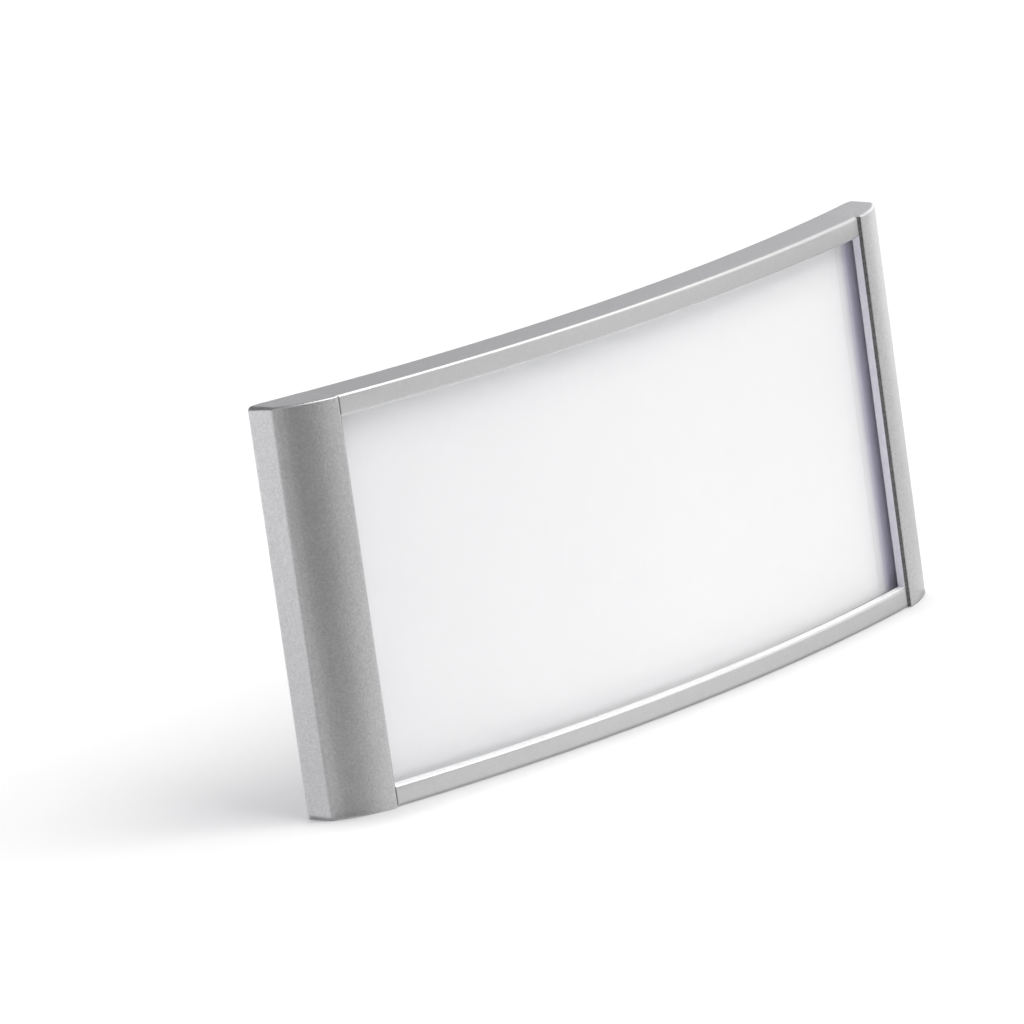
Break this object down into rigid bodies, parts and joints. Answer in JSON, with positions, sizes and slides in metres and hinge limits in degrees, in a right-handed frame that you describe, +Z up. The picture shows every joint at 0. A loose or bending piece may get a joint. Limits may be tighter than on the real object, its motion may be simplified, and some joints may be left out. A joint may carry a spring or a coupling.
{
  "type": "name badge",
  "caption": "Curved silver name badge frame with rounded end blocks, a clear cover over a blank insert card, and a magnet bar on the back.",
  "frame": {"origin": "centre of the bounding box at its bottom, under the middle of the badge", "axes": "+X along the badge's length (to the right for someone who reads it), -Y out of its front, +Z up"},
  "size_m": [0.0712, 0.0098, 0.034],
  "materials": {
    "silver_paint": "satin metallic silver paint with a fine grain",
    "clear_plastic": "clear and glossy",
    "card": "uncoated white",
    "grey_plastic": "fine matt texture",
    "black_plastic": "satin"
  },
  "bodies": {
    "root": {"frame": "silver_paint", "clear_cover": "clear_plastic", "insert_card": "card", "back_plate": "grey_plastic", "magnet_bar": "black_plastic"}
  },
  "joints": []
}
